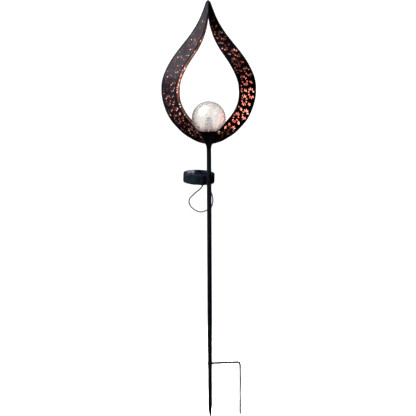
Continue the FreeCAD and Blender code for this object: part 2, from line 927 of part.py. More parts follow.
base_shell = turned(
    "solar_base_shell",
    [
        (0.0, 0.0),
        (DRUM + " - @drum_rounding", 0.0),
        (DRUM + " - @drum_rounding * 0.3", "@drum_rounding * 0.3"),
        (DRUM, "@drum_rounding"),
        (DRUM, "@drum_base_height"),
        (DRUM + " - @drum_wall", "@drum_base_height"),
        (DRUM + " - @drum_wall", "@drum_floor"),
        (0.0, "@drum_floor"),
    ],
    at(CENTRE, 0, "0 - " + HALF),
)
ear_reach = "@drum_gap + @ear_root"
ears = []
for number, side in enumerate((-1, 1)):
    low = "@lug_width / 2 + @ear_gap"
    if side < 0:
        low = "0 - @lug_width / 2 - @ear_gap - @ear_thickness"
    ears.append(cylinder("ear_round_%d" % number, "@lug_diameter / 2", "@ear_thickness",
                         at(0, low, 0, ALONG_Y)))
    ears.append(box("ear_web_%d" % number, ear_reach, "@ear_thickness", "@lug_diameter",
                    at(0, low, "0 - @lug_diameter / 2")))
posts = []
post_bores = []
for number in range(4):
    turn = Rotation(Vector(0, 0, 1), 90 * number + 45)
    spot = turn.multVec(Vector(size(plain(SCREW_RING)), 0, 0))
    centre = size(plain(CENTRE))
    low = -size(plain(HALF))
    posts.append(
        cylinder(
            "post_%d" % number,
            "@post_diameter / 2",
            "@drum_base_height",
            Placement(Vector(centre + spot.x, spot.y, low), Rotation()),
        )
    )
    post_bores.append(
        cylinder(
            "post_bore_%d" % number,
            "@drum_screw / 2",
            "@drum_base_height * 2",
            Placement(
                Vector(centre + spot.x, spot.y, low - size("drum_base_height") / 2),
                Rotation(),
            ),
        )
    )
base_whole = fuse("solar_base_whole", [base_shell] + ears + posts)
ear_bore = cylinder("ear_bore", "@pivot_bolt / 2", "@lug_width * 5",
                    at(0, "0 - @lug_width * 2.5", 0, ALONG_Y))
# the battery lies beside the two posts on the far side of the pole
door_x = CENTRE + " + " + POST_SPOT + " - @post_diameter / 2 - @battery_diameter / 2 - @battery_post_gap"
door_space = box("door_space", "@door_width", "@door_length", "@drum_floor * 2",
                 at(door_x + " - @door_width / 2", "0 - @door_length / 2",
                    "0 - " + HALF + " - @drum_floor * 0.5"))
gland_x = CENTRE + " - @gland_inset"
gland_space = cylinder("gland_space", "@cable_diameter / 2 + @gland_wall", "@drum_floor * 3",
                       at(gland_x, 0, "0 - " + HALF + " - @drum_floor"))
switch_x = CENTRE + " + @switch_offset"
slot_length = "@slider_length + @slider_travel + @slider_clearance * 2"
slot_space = box("slot_space", "@slider_width + @slider_clearance * 2", slot_length, "@drum_floor * 3",
                 at(switch_x + " - @slider_width / 2 - @slider_clearance",
                    "0 - @slider_length / 2 - @slider_clearance", "0 - " + HALF + " - @drum_floor"))
part(
    cut("solar_base_solid", base_whole,
        [ear_bore, door_space, gland_space, slot_space] + post_bores, drum_frame),
    "solar_base",
)

cover_low = "0 - " + HALF + " + @drum_base_height"
cover_body = turned(
    "solar_cover_ring",
    [
        (WINDOW + " - @window_ledge", 0.0),
        (DRUM, 0.0),
        (DRUM, "@drum_cover_height - @drum_rounding"),
        (DRUM + " - @drum_rounding * 0.3", "@drum_cover_height - @drum_rounding * 0.3"),
        (DRUM + " - @drum_rounding", "@drum_cover_height"),
        (WINDOW, "@drum_cover_height"),
        (WINDOW, "@drum_cover_height - @window_thickness"),
        (WINDOW + " - @window_ledge", "@drum_cover_height - @window_thickness"),
    ],
    in_drum(CENTRE, 0, cover_low),
)
part(cover_body, "solar_top_cover")
part(
    cylinder("solar_window_disc", WINDOW, "@window_thickness",
             in_drum(CENTRE, 0, cover_low + " + @drum_cover_height - @window_thickness")),
    "solar_window",
)
# a square cell whose corners stay inside the ledge that carries the window
CELL_SIDE = "((" + WINDOW + " - @window_ledge - @cell_corner_clearance) * 1.4142136)"
part(
    box("solar_cell_plate", CELL_SIDE, CELL_SIDE, "@cell_thickness",
        in_drum(CENTRE + " - " + CELL_SIDE + " / 2", "0 - " + CELL_SIDE + " / 2",
                cover_low + " + @drum_cover_height - @window_thickness - @cell_thickness")),
    "solar_cell",
)
part(
    turned(
        "housing_seal_ring",
        [
            (DRUM + " - @drum_wall - @drum_seal_width - @drum_seal_gap", 0.0),
            (DRUM + " - @drum_wall - @drum_seal_gap", 0.0),
            (DRUM + " - @drum_wall - @drum_seal_gap", "@drum_seal_height"),
            (DRUM + " - @drum_wall - @drum_seal_width - @drum_seal_gap", "@drum_seal_height"),
        ],
        in_drum(CENTRE, 0, cover_low + " - @drum_seal_height"),
    ),
    "housing_seal",
)
inside_floor = "0 - " + HALF + " + @drum_floor"
battery_z = inside_floor + " + @battery_diameter / 2 + @battery_clearance"
part(
    cylinder("battery_cell", "@battery_diameter / 2", "@battery_length",
             in_drum(door_x, "0 - @battery_length / 2", battery_z, ALONG_Y)),
    "battery",
)
contacts = [
    box("battery_contact_%d" % number, "@battery_diameter * 0.6", "@contact_thickness",
        "@battery_diameter * 0.8",
        at(door_x + " - @battery_diameter * 0.3",
           "@battery_length / 2" if side > 0 else "0 - @battery_length / 2 - @contact_thickness",
           inside_floor))
    for number, side in enumerate((-1, 1))
]
part(together("battery_contacts_group", contacts, drum_frame), "battery_contacts")
part(
    box("battery_door_plate", "@door_width - @door_gap * 2", "@door_length - @door_gap * 2",
        "@drum_floor",
        in_drum(door_x + " - @door_width / 2 + @door_gap",
                "0 - @door_length / 2 + @door_gap", "0 - " + HALF)),
    "battery_door",
)
door_screw_profile = [
    (0.0, 0.0),
    ("@drum_screw * 0.8", 0.0),
    ("@drum_screw * 0.9", 0.5),
    ("@drum_screw * 0.9", 1.1),
    (0.0, 1.1),
]
door_screws = []
for number, side in enumerate((-1, 1)):
    door_screws.append(
        turned("door_screw_%d" % number, door_screw_profile,
               in_drum(door_x, "(@door_length / 2 - 4) * %d" % side, "0 - " + HALF + " - 1.1"))
    )
part(together("battery_door_screws_group", door_screws), "battery_door_screws")
# the circuit board lies between the two posts on the near side of the pole
CIRCUIT_LENGTH = "((" + POST_SPOT + " - @post_diameter / 2 - @circuit_post_gap) * 2)"
part(
    box("circuit_plate", "@circuit_width", CIRCUIT_LENGTH, "@circuit_thickness",
        in_drum(CENTRE + " - @gland_inset - @circuit_width / 2 + 5", "0 - " + CIRCUIT_LENGTH + " / 2",
                inside_floor + " + @drum_base_height * 0.55")),
    "circuit_board",
)
housing_screws = []
for number in range(4):
    turn = Rotation(Vector(0, 0, 1), 90 * number + 45)
    spot = turn.multVec(Vector(size(plain(SCREW_RING)), 0, 0))
    screw_low = -size(plain(HALF)) - size("screw_head_height")
    place = Placement(Vector(size(plain(CENTRE)) + spot.x, spot.y, screw_low), Rotation())
    housing_screws.append(
        turned(
            "housing_screw_%d" % number,
            [
                (0.0, 0.0),
                ("@drum_screw * 0.8", 0.0),
                ("@drum_screw * 0.95", "@screw_head_height / 2"),
                ("@drum_screw * 0.95", "@screw_head_height"),
                ("@drum_screw / 2", "@screw_head_height"),
                ("@drum_screw / 2", "@drum_base_height + @screw_head_height"),
                (0.0, "@drum_base_height + @screw_head_height"),
            ],
            drum_frame.multiply(place),
        )
    )
part(together("housing_screws_group", housing_screws), "housing_screws")

gland_body = turned(
    "cable_gland_body",
    [
        ("@cable_diameter / 2", 0.0),
        ("@cable_diameter / 2 + @gland_wall * 0.6", 0.0),
        ("@cable_diameter / 2 + @gland_wall", "@gland_length - 1.2"),
        ("@cable_diameter / 2 + @gland_wall + @gland_flange", "@gland_length - 1.2"),
        ("@cable_diameter / 2 + @gland_wall + @gland_flange", "@gland_length"),
        ("@cable_diameter / 2 + @gland_wall", "@gland_length"),
        ("@cable_diameter / 2 + @gland_wall", "@gland_length + @drum_floor + 1"),
        ("@cable_diameter / 2", "@gland_length + @drum_floor + 1"),
    ],
    in_drum(gland_x, 0, "0 - " + HALF + " - @gland_length"),
)
part(gland_body, "cable_gland")

part(
    box("switch_case", "@switch_width", "@switch_length", "@switch_height",
        in_drum(switch_x + " - @switch_width / 2", "@slider_travel / 2 - @switch_length / 2",
                inside_floor + " + 0.2")),
    "switch_body",
)
slider_plate = box("slider_plate", "@slider_width", "@slider_length", "@drum_floor + @slider_stand_out",
                   in_drum(switch_x + " - @slider_width / 2", "0 - @slider_length / 2",
                           "0 - " + HALF + " - @slider_stand_out"))
part(slider_plate, "switch_slider")

bolt_low = "0 - @lug_width / 2 - @ear_gap - @ear_thickness"
bolt_shaft = cylinder("bolt_shaft", "@pivot_bolt / 2",
                      "@lug_width + @ear_gap * 2 + @ear_thickness * 2 + @nut_height + @bolt_end",
                      at(0, bolt_low + " - @nut_height - @bolt_end", 0, ALONG_Y))
bolt_head = cylinder("bolt_head", "@bolt_head_diameter / 2", "@bolt_head_height",
                     at(0, "@lug_width / 2 + @ear_gap + @ear_thickness", 0, ALONG_Y))
part(fuse("tilt_bolt_solid", [bolt_shaft, bolt_head], drum_frame), "tilt_bolt")
nut_outer = doc.addObject("Part::Prism", "nut_outer")
nut_outer.Polygon = 6
bind(nut_outer, "Circumradius", "@nut_width / 2")
bind(nut_outer, "Height", "@nut_height")
nut_outer.Placement = at(0, bolt_low + " - @nut_height", 0, ALONG_Y)
nut_bore = cylinder("nut_bore", "@pivot_bolt / 2", "@nut_height * 3",
                    at(0, bolt_low + " - @nut_height * 2", 0, ALONG_Y))
part(cut("tilt_nut_solid", nut_outer, [nut_bore], drum_frame), "tilt_nut")

# ------------------------------------------------------------- free cable
# A limp two-core cable from the gland under the drum, round the back of the
# pole to its right, and up into the grommet in the back of the pole.
gland_mouth = in_drum(gland_x, 0, "0 - " + HALF + " - @gland_length").Base
grommet_mouth = Vector(0, pole + size("grommet_stand_out"), size(plain(CABLE_HOLE)))
CABLE_ROUTE = [
    Vector(-20.0, 30.2, 429.5),
    Vector(-30.5, 30.4, 421.5),
    Vector(-41.5, 29.0, 412.0),
    Vector(-49.0, 27.2, 404.5),
    Vector(-50.2, 25.2, 395.0),
    Vector(-45.2, 22.6, 385.0),
    Vector(-33.5, 19.6, 376.2),
    Vector(-20.5, 16.6, 372.8),
    Vector(-8.0, 13.9, 377.2),
    Vector(2.5, 12.0, 383.0),
    Vector(7.4, 10.6, 392.5),
    Vector(8.6, 10.8, 404.5),
    Vector(6.4, 13.0, 415.5),
    Vector(2.5, 15.5, 424.0),
]


def cord_path(points, most=0.45):
    """Straight runs joined by tangent arcs, as an ordered list of edges, and the radii."""
    edges = []
    radii = []
    start = points[0]
    for before, corner, after in zip(points, points[1:], points[2:]):
        one = before - corner
        two = after - corner
        turn = math.pi - one.getAngle(two)
        short = min(one.Length, two.Length)
        back = most * short
        radii.append(back / math.tan(turn / 2))
        one.normalize()
        two.normalize()
        first = corner + one * back
        last = corner + two * back
        middle = one + two
        middle.normalize()
        radius = radii[-1]
        centre = corner + middle * math.hypot(radius, back)
        nearest = centre - middle * radius
        edges.append(Part.LineSegment(start, first).toShape())
        edges.append(Part.Arc(first, nearest, last).toShape())
        start = last
    edges.append(Part.LineSegment(start, points[-1]).toShape())
    return edges, radii


cable_points = [gland_mouth] + CABLE_ROUTE + [grommet_mouth]
cable_edges, cable_radii = cord_path(cable_points)
cable_wire = Part.Wire(cable_edges)
first_way = cable_points[1] - cable_points[0]
cable_section = Part.Wire(
    [Part.Circle(cable_points[0], first_way, size("cable_diameter") / 2).toShape()]
)
cable_solid = cable_wire.makePipeShell([cable_section], True, False)
print("cable bend radii", [round(r, 1) for r in cable_radii])
cable_length = sum(e.Length for e in cable_edges)
cable_area = math.pi * (size("cable_diameter") / 2) ** 2
print("cable length", round(cable_length, 1), "volume", round(cable_solid.Volume, 1),
      "section times length", round(cable_area * cable_length, 1))
part(own_shape("panel_cable_solid", cable_solid), "panel_cable")

# -------------------------------------------------------- checks and export
doc.recompute()
for thing in doc.Objects:
    for state in thing.State:
        if state in ("Invalid", "Error"):
            raise RuntimeError("%s is %s" % (thing.Label, state))
labels = [label for _, label in PARTS]
if len(set(labels)) != len(labels):
    raise RuntimeError("two sub-parts share a name")
for thing, label in PARTS:
    shape = thing.Shape
    if shape.isNull() or not shape.isValid() or not shape.Solids:
        raise RuntimeError("%s has no valid solid" % label)
    if shape.Volume <= 0:
        raise RuntimeError("%s has no volume" % label)
os.makedirs("parts", exist_ok=True)
for thing, label in PARTS:
    thing.Shape.exportStep("parts/%s.step" % label)
print(len(PARTS), "sub-parts written")
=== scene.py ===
import math
import bmesh
import bpy
import numpy as np
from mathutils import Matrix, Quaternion, Vector
from mathutils.geometry import delaunay_2d_cdt


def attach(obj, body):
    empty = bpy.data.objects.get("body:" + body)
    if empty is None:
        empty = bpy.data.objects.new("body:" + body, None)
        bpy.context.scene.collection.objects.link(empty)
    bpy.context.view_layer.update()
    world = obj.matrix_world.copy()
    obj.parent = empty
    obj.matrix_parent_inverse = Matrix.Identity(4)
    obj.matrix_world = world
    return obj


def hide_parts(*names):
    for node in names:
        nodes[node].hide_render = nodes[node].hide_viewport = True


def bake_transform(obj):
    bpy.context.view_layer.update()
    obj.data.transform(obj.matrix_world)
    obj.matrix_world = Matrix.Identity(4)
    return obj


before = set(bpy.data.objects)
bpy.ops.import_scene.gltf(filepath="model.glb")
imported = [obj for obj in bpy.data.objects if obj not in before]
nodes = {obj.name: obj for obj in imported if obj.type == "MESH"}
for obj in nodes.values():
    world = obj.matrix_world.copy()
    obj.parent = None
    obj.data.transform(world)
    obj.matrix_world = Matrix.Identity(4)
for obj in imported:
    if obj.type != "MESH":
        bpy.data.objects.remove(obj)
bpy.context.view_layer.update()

scene = bpy.context.scene
MM = 0.001

# ------------------------------------------------------------------ camera
camera_data = bpy.data.cameras.new("camera")
camera_data.lens = 80.5
camera_data.sensor_width = 36.0
camera = bpy.data.objects.new("camera", camera_data)
scene.collection.objects.link(camera)
camera.location = (0.0993, -2.1877, 0.681)
aim = Vector((-0.0029, 0.0, 0.3853)) - camera.location
roll = Quaternion((0.0, 0.0, 1.0), math.radians(-0.3))
camera.rotation_mode = "QUATERNION"
camera.rotation_quaternion = aim.to_track_quat("-Z", "Y") @ roll
scene.camera = camera


# --------------------------------------------------------------- materials
def new_material(name):
    material = bpy.data.materials.new(name)
    material.use_nodes = True
    tree = material.node_tree
    shader = tree.nodes["Principled BSDF"]
    return material, tree, shader


def object_place(tree):
    """Places on the object itself, which the patterns follow."""
    return tree.nodes.new("ShaderNodeTexCoord").outputs["Object"]


def noise(tree, scale, detail):
    node = tree.nodes.new("ShaderNodeTexNoise")
    node.inputs["Scale"].default_value = scale
    node.inputs["Detail"].default_value = detail
    tree.links.new(object_place(tree), node.inputs["Vector"])
    return node


def ramp(tree, source, low, high, first, second):
    """Blends from one colour to another as a source goes from low to high."""
    node = tree.nodes.new("ShaderNodeValToRGB")
    node.color_ramp.elements[0].position = low
    node.color_ramp.elements[0].color = (*first, 1)
    node.color_ramp.elements[1].position = high
    node.color_ramp.elements[1].color = (*second, 1)
    tree.links.new(source, node.inputs["Fac"])
    return node


def spread(tree, source, low, high):
    """Stretches a source that goes from 0 to 1 over low to high."""
    node = tree.nodes.new("ShaderNodeMapRange")
    node.inputs["To Min"].default_value = low
    node.inputs["To Max"].default_value = high
    tree.links.new(source, node.inputs["Value"])
    return node


def bump(tree, shader, source, strength, distance, after=None):
    """Roughens a surface by a source, on top of an earlier bump if one is given."""
    node = tree.nodes.new("ShaderNodeBump")
    node.inputs["Strength"].default_value = strength
    node.inputs["Distance"].default_value = distance
    tree.links.new(source, node.inputs["Height"])
    if after is not None:
        tree.links.new(after.outputs["Normal"], node.inputs["Normal"])
    tree.links.new(node.outputs["Normal"], shader.inputs["Normal"])
    return node


def coated_metal(name, dark, light, rough_low, rough_high, grain=1400.0, strength=0.08):
    """Powder coat: fine orange peel, faint blotches, and slightly uneven gloss."""
    material, tree, shader = new_material(name)
    blotch = noise(tree, 38.0, 4.0)
    colour = ramp(tree, blotch.outputs["Fac"], 0.35, 0.7, dark, light)
    tree.links.new(colour.outputs["Color"], shader.inputs["Base Color"])
    smear = noise(tree, 95.0, 3.0)
    rough = spread(tree, smear.outputs["Fac"], rough_low, rough_high)
    tree.links.new(rough.outputs["Result"], shader.inputs["Roughness"])
    peel = noise(tree, grain, 2.0)
    bump(tree, shader, peel.outputs["Fac"], strength, 0.0004)
    return material


def moulded(name, dark, light, rough_low, rough_high, grain=2600.0, strength=0.05):
    """Moulded plastic or rubber: faint blotches under a fine grain."""
    material, tree, shader = new_material(name)
    blotch = noise(tree, 60.0, 3.0)
    colour = ramp(tree, blotch.outputs["Fac"], 0.3, 0.75, dark, light)
    tree.links.new(colour.outputs["Color"], shader.inputs["Base Color"])
    rough = spread(tree, blotch.outputs["Fac"], rough_low, rough_high)
    tree.links.new(rough.outputs["Result"], shader.inputs["Roughness"])
    fine = noise(tree, grain, 3.0)
    bump(tree, shader, fine.outputs["Fac"], strength, 0.0003)
    return material


def bare_metal(name, dark, light, rough_low, rough_high):
    """Plated or blackened metal with a spangled surface."""
    material, tree, shader = new_material(name)
    shader.inputs["Metallic"].default_value = 1.0
    blotch = noise(tree, 420.0, 4.0)
    colour = ramp(tree, blotch.outputs["Fac"], 0.3, 0.7, dark, light)
    tree.links.new(colour.outputs["Color"], shader.inputs["Base Color"])
    rough = spread(tree, blotch.outputs["Fac"], rough_low, rough_high)
    tree.links.new(rough.outputs["Result"], shader.inputs["Roughness"])
    fine = noise(tree, 3200.0, 2.0)
    bump(tree, shader, fine.outputs["Fac"], 0.06, 0.0002)
    return material


BLACK = coated_metal(
    "black_powder_coat", (0.0003, 0.0003, 0.0005), (0.0005, 0.0008, 0.0012), 0.20, 0.46
)
BLACK.node_tree.nodes["Principled BSDF"].inputs["Specular IOR Level"].default_value = 0.22
RIM_BLACK = coated_metal(
    "black_rim_coat", (0.0003, 0.0003, 0.0004), (0.0008, 0.0008, 0.0010), 0.30, 0.45
)
RIM_BLACK.node_tree.nodes["Principled BSDF"].inputs["Specular IOR Level"].default_value = 0.2
COPPER = coated_metal(
    "copper_red_paint", (0.060, 0.004, 0.002), (0.25, 0.085, 0.062), 0.34, 0.5, 900.0, 0.1
)
ZINC = bare_metal("zinc_plate", (0.46, 0.47, 0.49), (0.68, 0.69, 0.70), 0.25, 0.42)
PLATED = bare_metal("plated_screw", (0.30, 0.30, 0.31), (0.52, 0.52, 0.53), 0.22, 0.38)
PLASTIC = moulded(
    "black_gloss_plastic", (0.0004, 0.0006, 0.0009), (0.0008, 0.0014, 0.0020), 0.12, 0.24
)
BLACK_SCREW = bare_metal("blackened_screw", (0.010, 0.010, 0.012), (0.030, 0.030, 0.034), 0.3, 0.45)
RUBBER = moulded("black_rubber", (0.010, 0.010, 0.010), (0.020, 0.020, 0.020), 0.6, 0.8, 1500.0, 0.2)
SLEEVE = moulded("cable_sleeve", (0.004, 0.004, 0.005), (0.010, 0.010, 0.012), 0.38, 0.5, 1800.0, 0.1)
GREEN = moulded("solder_mask", (0.008, 0.070, 0.022), (0.015, 0.120, 0.045), 0.25, 0.4)
WRAP = moulded("battery_wrap", (0.010, 0.120, 0.070), (0.020, 0.190, 0.110), 0.2, 0.32)


def cracked_glass():
    """Crackled glass: a net of fine cracks inside, a wavy blown surface, and a faint warm tint."""
    material, tree, shader = new_material("crackle_glass")
    shader.inputs["Transmission Weight"].default_value = 1.0
    shader.inputs["IOR"].default_value = 1.42
    place = object_place(tree)
    warp = noise(tree, 34.0, 3.0)
    mixed = tree.nodes.new("ShaderNodeMix")
    mixed.data_type = "VECTOR"
    mixed.inputs["Factor"].default_value = 0.012
    tree.links.new(place, mixed.inputs["A"])
    tree.links.new(warp.outputs["Color"], mixed.inputs["B"])
    heights = []
    for scale, reach in ((62.0, 0.045), (135.0, 0.06)):
        cells = tree.nodes.new("ShaderNodeTexVoronoi")
        cells.feature = "DISTANCE_TO_EDGE"
        cells.inputs["Scale"].default_value = scale
        tree.links.new(mixed.outputs["Result"], cells.inputs["Vector"])
        edge = tree.nodes.new("ShaderNodeMapRange")
        edge.interpolation_type = "SMOOTHSTEP"
        edge.inputs["From Max"].default_value = reach
        tree.links.new(cells.outputs["Distance"], edge.inputs["Value"])
        heights.append(edge.outputs["Result"])
    net = tree.nodes.new("ShaderNodeMath")
    net.operation = "MULTIPLY"
    tree.links.new(heights[0], net.inputs[0])
    tree.links.new(heights[1], net.inputs[1])
    tint = ramp(tree, net.outputs["Value"], 0.0, 1.0, (0.70, 0.665, 0.635), (0.86, 0.85, 0.84))
    tree.links.new(tint.outputs["Color"], shader.inputs["Base Color"])
    rough = spread(tree, net.outputs["Value"], 0.32, 0.02)
    tree.links.new(rough.outputs["Result"], shader.inputs["Roughness"])
    waves = noise(tree, 30.0, 2.0)
    first = bump(tree, shader, waves.outputs["Fac"], 0.30, 0.003)
    bump(tree, shader, net.outputs["Value"], 0.22, 0.0008, first)
    return material


def clear_plastic(name, colour, rough):
    """Clear moulded plastic, slightly uneven in tint and gloss."""
    material, tree, shader = new_material(name)
    shader.inputs["Transmission Weight"].default_value = 1.0
    shader.inputs["IOR"].default_value = 1.46
    tint = noise(tree, 120.0, 2.0)
    shade = ramp(tree, tint.outputs["Fac"], 0.2, 0.8, tuple(c * 0.93 for c in colour), colour)
    tree.links.new(shade.outputs["Color"], shader.inputs["Base Color"])
    uneven = spread(tree, tint.outputs["Fac"], rough * 0.6, rough * 1.4)
    tree.links.new(uneven.outputs["Result"], shader.inputs["Roughness"])
    return material


GLASS = cracked_glass()
DOME = clear_plastic("lamp_dome_plastic", (0.80, 0.81, 0.82), 0.05)
WINDOW = clear_plastic("drum_window_plastic", (0.10, 0.12, 0.15), 0.05)
LENS = clear_plastic("lamp_lens", (1.0, 0.93, 0.72), 0.12)


def solar_cell_material():
    """Dark blue silicon with fine silver fingers and two bus bars."""
    material, tree, shader = new_material("solar_silicon")
    place = object_place(tree)
    turn = tree.nodes.new("ShaderNodeMapping")
    turn.inputs["Rotation"].default_value = (0, 0, math.radians(-120))
    tree.links.new(place, turn.inputs["Vector"])
    lines = []
    for direction, scale, width in (("X", 78.0, 0.93), ("Y", 12.0, 0.965)):
        wave = tree.nodes.new("ShaderNodeTexWave")
        wave.bands_direction = direction
        wave.inputs["Scale"].default_value = scale
        tree.links.new(turn.outputs["Vector"], wave.inputs["Vector"])
        step = tree.nodes.new("ShaderNodeMath")
        step.operation = "GREATER_THAN"
        step.inputs[1].default_value = width
        tree.links.new(wave.outputs["Fac"], step.inputs[0])
        lines.append(step.outputs["Value"])
    both = tree.nodes.new("ShaderNodeMath")
    both.operation = "MAXIMUM"
    tree.links.new(lines[0], both.inputs[0])
    tree.links.new(lines[1], both.inputs[1])
    flakes = noise(tree, 260.0, 3.0)
    dark_blue = (0.0015, 0.0025, 0.0100)
    light_blue = (0.0035, 0.0060, 0.0240)
    silicon = ramp(tree, flakes.outputs["Fac"], 0.3, 0.7, dark_blue, light_blue)
    mix = tree.nodes.new("ShaderNodeMix")
    mix.data_type = "RGBA"
    tree.links.new(both.outputs["Value"], mix.inputs["Factor"])
    tree.links.new(silicon.outputs["Color"], mix.inputs["A"])
    mix.inputs["B"].default_value = (0.060, 0.064, 0.070, 1)
    tree.links.new(mix.outputs["Result"], shader.inputs["Base Color"])
    shader.inputs["Roughness"].default_value = 0.22
    return material


SILICON = solar_cell_material()

# what each piece that CAD made is finished in
FINISH = {
    "lower_tube": BLACK, "step_foot": BLACK, "foot_weld": BLACK, "upper_tube": BLACK,
    "panel_bracket": BLACK, "pole_coupler": ZINC,
    "base_screws": PLATED, "bracket_screws": BLACK_SCREW, "housing_screws": PLATED,
    "battery_door_screws": PLATED, "tilt_bolt": BLACK_SCREW, "tilt_nut": BLACK_SCREW,
    "battery_contacts": PLATED, "solar_base": PLASTIC, "solar_top_cover": PLASTIC,
    "battery_door": PLASTIC, "switch_body": PLASTIC, "switch_slider": PLASTIC,
    "lamp_cup": PLASTIC, "lamp_base": PLASTIC, "cable_grommet": RUBBER,
    "base_seal": RUBBER, "housing_seal": RUBBER, "cable_gland": RUBBER,
    "pole_wire": SLEEVE, "led_board": GREEN, "circuit_board": GREEN, "battery": WRAP,
    "led_dome": DOME, "led_lamps": LENS, "solar_window": WINDOW, "solar_cell": SILICON,
}
# the radius of the softened edges in millimetres
SOFT_EDGE = {
    "solar_base": 0.5, "battery_door": 0.3, "switch_slider": 0.3, "switch_body": 0.3,
    "lamp_cup": 0.4, "panel_bracket": 0.4, "tilt_nut": 0.25, "tilt_bolt": 0.25,
    "circuit_board": 0.15, "solar_cell": 0.1, "housing_screws": 0.2,
    "bracket_screws": 0.2, "battery_door_screws": 0.15, "cable_gland": 0.25,
}
for name, finish in FINISH.items():
    thing = nodes[name]
    thing.data.materials.clear()
    thing.data.materials.append(finish)
    if name in SOFT_EDGE:
        edge = thing.modifiers.new("soft_edge", "BEVEL")
        edge.width = SOFT_EDGE[name] * MM
        edge.segments = 2
        edge.limit_method = "ANGLE"
        edge.angle_limit = math.radians(35)


# ---------------------------------------------------------------- helpers
def mesh_piece(name, points, faces, body, finish, angle=40.0):
    """A smooth mesh, sharp where its faces turn by more than an angle, riding on a body."""
    data = bpy.data.meshes.new(name)
    data.from_pydata([tuple(p) for p in points], [], [tuple(f) for f in faces])
    data.update()
    for face in data.polygons:
        face.use_smooth = True
    data.set_sharp_from_angle(angle=math.radians(angle))
    thing = bpy.data.objects.new(name, data)
    scene.collection.objects.link(thing)
    data.materials.append(finish)
    if body:
        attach(thing, body)
    return thing


def unit(v):
    return v / max(np.linalg.norm(v), 1e-12)


def tube(path, radii, sides=12, closed=False, squash=(1.0, 1.0), normal=None):
    """A tube round a path in metres; radii is one number or one per point."""
    path = np.asarray(path, float)
    count = len(path)
    radii = np.broadcast_to(np.asarray(radii, float), (count,))
    points = []
    previous = None
    for i in range(count):
        if closed:
            along = unit(path[(i + 1) % count] - path[i - 1])
        else:
            along = unit(path[min(i + 1, count - 1)] - path[max(i - 1, 0)])
        if normal is not None:
            side = unit(normal - along * np.dot(normal, along))
        elif previous is None:
            guess = np.array([0, 0, 1.0]) if abs(along[2]) < 0.9 else np.array([1.0, 0, 0])
            side = unit(np.cross(along, guess))
        else:
            side = unit(previous - along * np.dot(previous, along))
        previous = side
        other = np.cross(along, side)
        for k in range(sides):
            a = 2 * math.pi * k / sides
            points.append(
                path[i]
                + side * math.cos(a) * radii[i] * squash[0]
                + other * math.sin(a) * radii[i] * squash[1]
            )
    faces = []
    for i in range(count if closed else count - 1):
        j = (i + 1) % count
        for k in range(sides):
            m = (k + 1) % sides
            faces.append((i * sides + k, i * sides + m, j * sides + m, j * sides + k))
    if not closed:
        faces.append(tuple(range(sides - 1, -1, -1)))
        faces.append(tuple((count - 1) * sides + k for k in range(sides)))
    return points, faces


def lathe(profile, sides, centre):
    """A surface turned round Z from a profile of (radius, height) in metres."""
    points = []
    faces = []
    rings = []
    for radius, height in profile:
        if radius < 1e-7:
            rings.append([len(points)])
            points.append((centre[0], centre[1], centre[2] + height))
            continue
        rings.append(list(range(len(points), len(points) + sides)))
        for k in range(sides):
            a = 2 * math.pi * k / sides
            points.append((centre[0] + radius * math.cos(a), centre[1] + radius * math.sin(a),
                           centre[2] + height))
    for one, two in zip(rings, rings[1:]):
        for k in range(sides):
            m = (k + 1) % sides
            if len(one) == 1:
                faces.append((one[0], two[m], two[k]))
            elif len(two) == 1:
                faces.append((one[k], one[m], two[0]))
            else:
                faces.append((one[k], one[m], two[m], two[k]))
    return points, faces


# ------------------------------------------------------------------- cable
# The free cable's route, the same points as its tube in CAD, in metres.
CABLE_ROUTE = [
    (-0.01703, 0.02949, 0.43582),
    (-0.02000, 0.03020, 0.42950),
    (-0.03050, 0.03040, 0.42150),
    (-0.04150, 0.02900, 0.41200),
    (-0.04900, 0.02720, 0.40450),
    (-0.05020, 0.02520, 0.39500),
    (-0.04520, 0.02260, 0.38500),
    (-0.03350, 0.01960, 0.37620),
    (-0.02050, 0.01660, 0.37280),
    (-0.00800, 0.01390, 0.37720),
    (0.00250, 0.01200, 0.38300),
    (0.00740, 0.01060, 0.39250),
    (0.00860, 0.01080, 0.40450),
    (0.00640, 0.01300, 0.41550),
    (0.00250, 0.01550, 0.42400),
    (0.00000, 0.00690, 0.42600),
]
CABLE_DIAMETER = 0.0032


def spline_points(route, steps):
    """A smooth line that follows a route, with this many steps to each of its points."""
    curve = bpy.data.curves.new("route", "CURVE")
    curve.dimensions = "3D"
    line = curve.splines.new("NURBS")
    line.points.add(len(route) - 1)
    for point, place in zip(line.points, route):
        point.co = (*place, 1.0)
    line.order_u = 3
    line.use_endpoint_u = True
    curve.resolution_u = steps
    holder = bpy.data.objects.new("route", curve)
    data = bpy.data.meshes.new_from_object(holder)
    found = np.array([v.co for v in data.vertices], float)
    bpy.data.objects.remove(holder)
    bpy.data.meshes.remove(data)
    return found


cable_line = spline_points(CABLE_ROUTE, 12)
cable_points, cable_faces = tube(cable_line, CABLE_DIAMETER / 2, 14)
cable = mesh_piece("free_cable", cable_points, cable_faces, None, SLEEVE)
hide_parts("panel_cable")
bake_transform(cable)

# ---------------------------------------------------------------- the head
# Lengths are in millimetres above the neck here, and the neck's own height is in metres.
NECK = 0.535
HALF_WIDTH = 109.2
HEIGHT = 333.0
HALF_DEPTH = 46.0
OPENING_HALF = 72.3
OPENING_BOTTOM = 32.0
OPENING_TOP = 304.0
POLE_R = 5.5
COLLAR = 6.0
COLLAR_GAP = 0.1
SHEET = 0.8
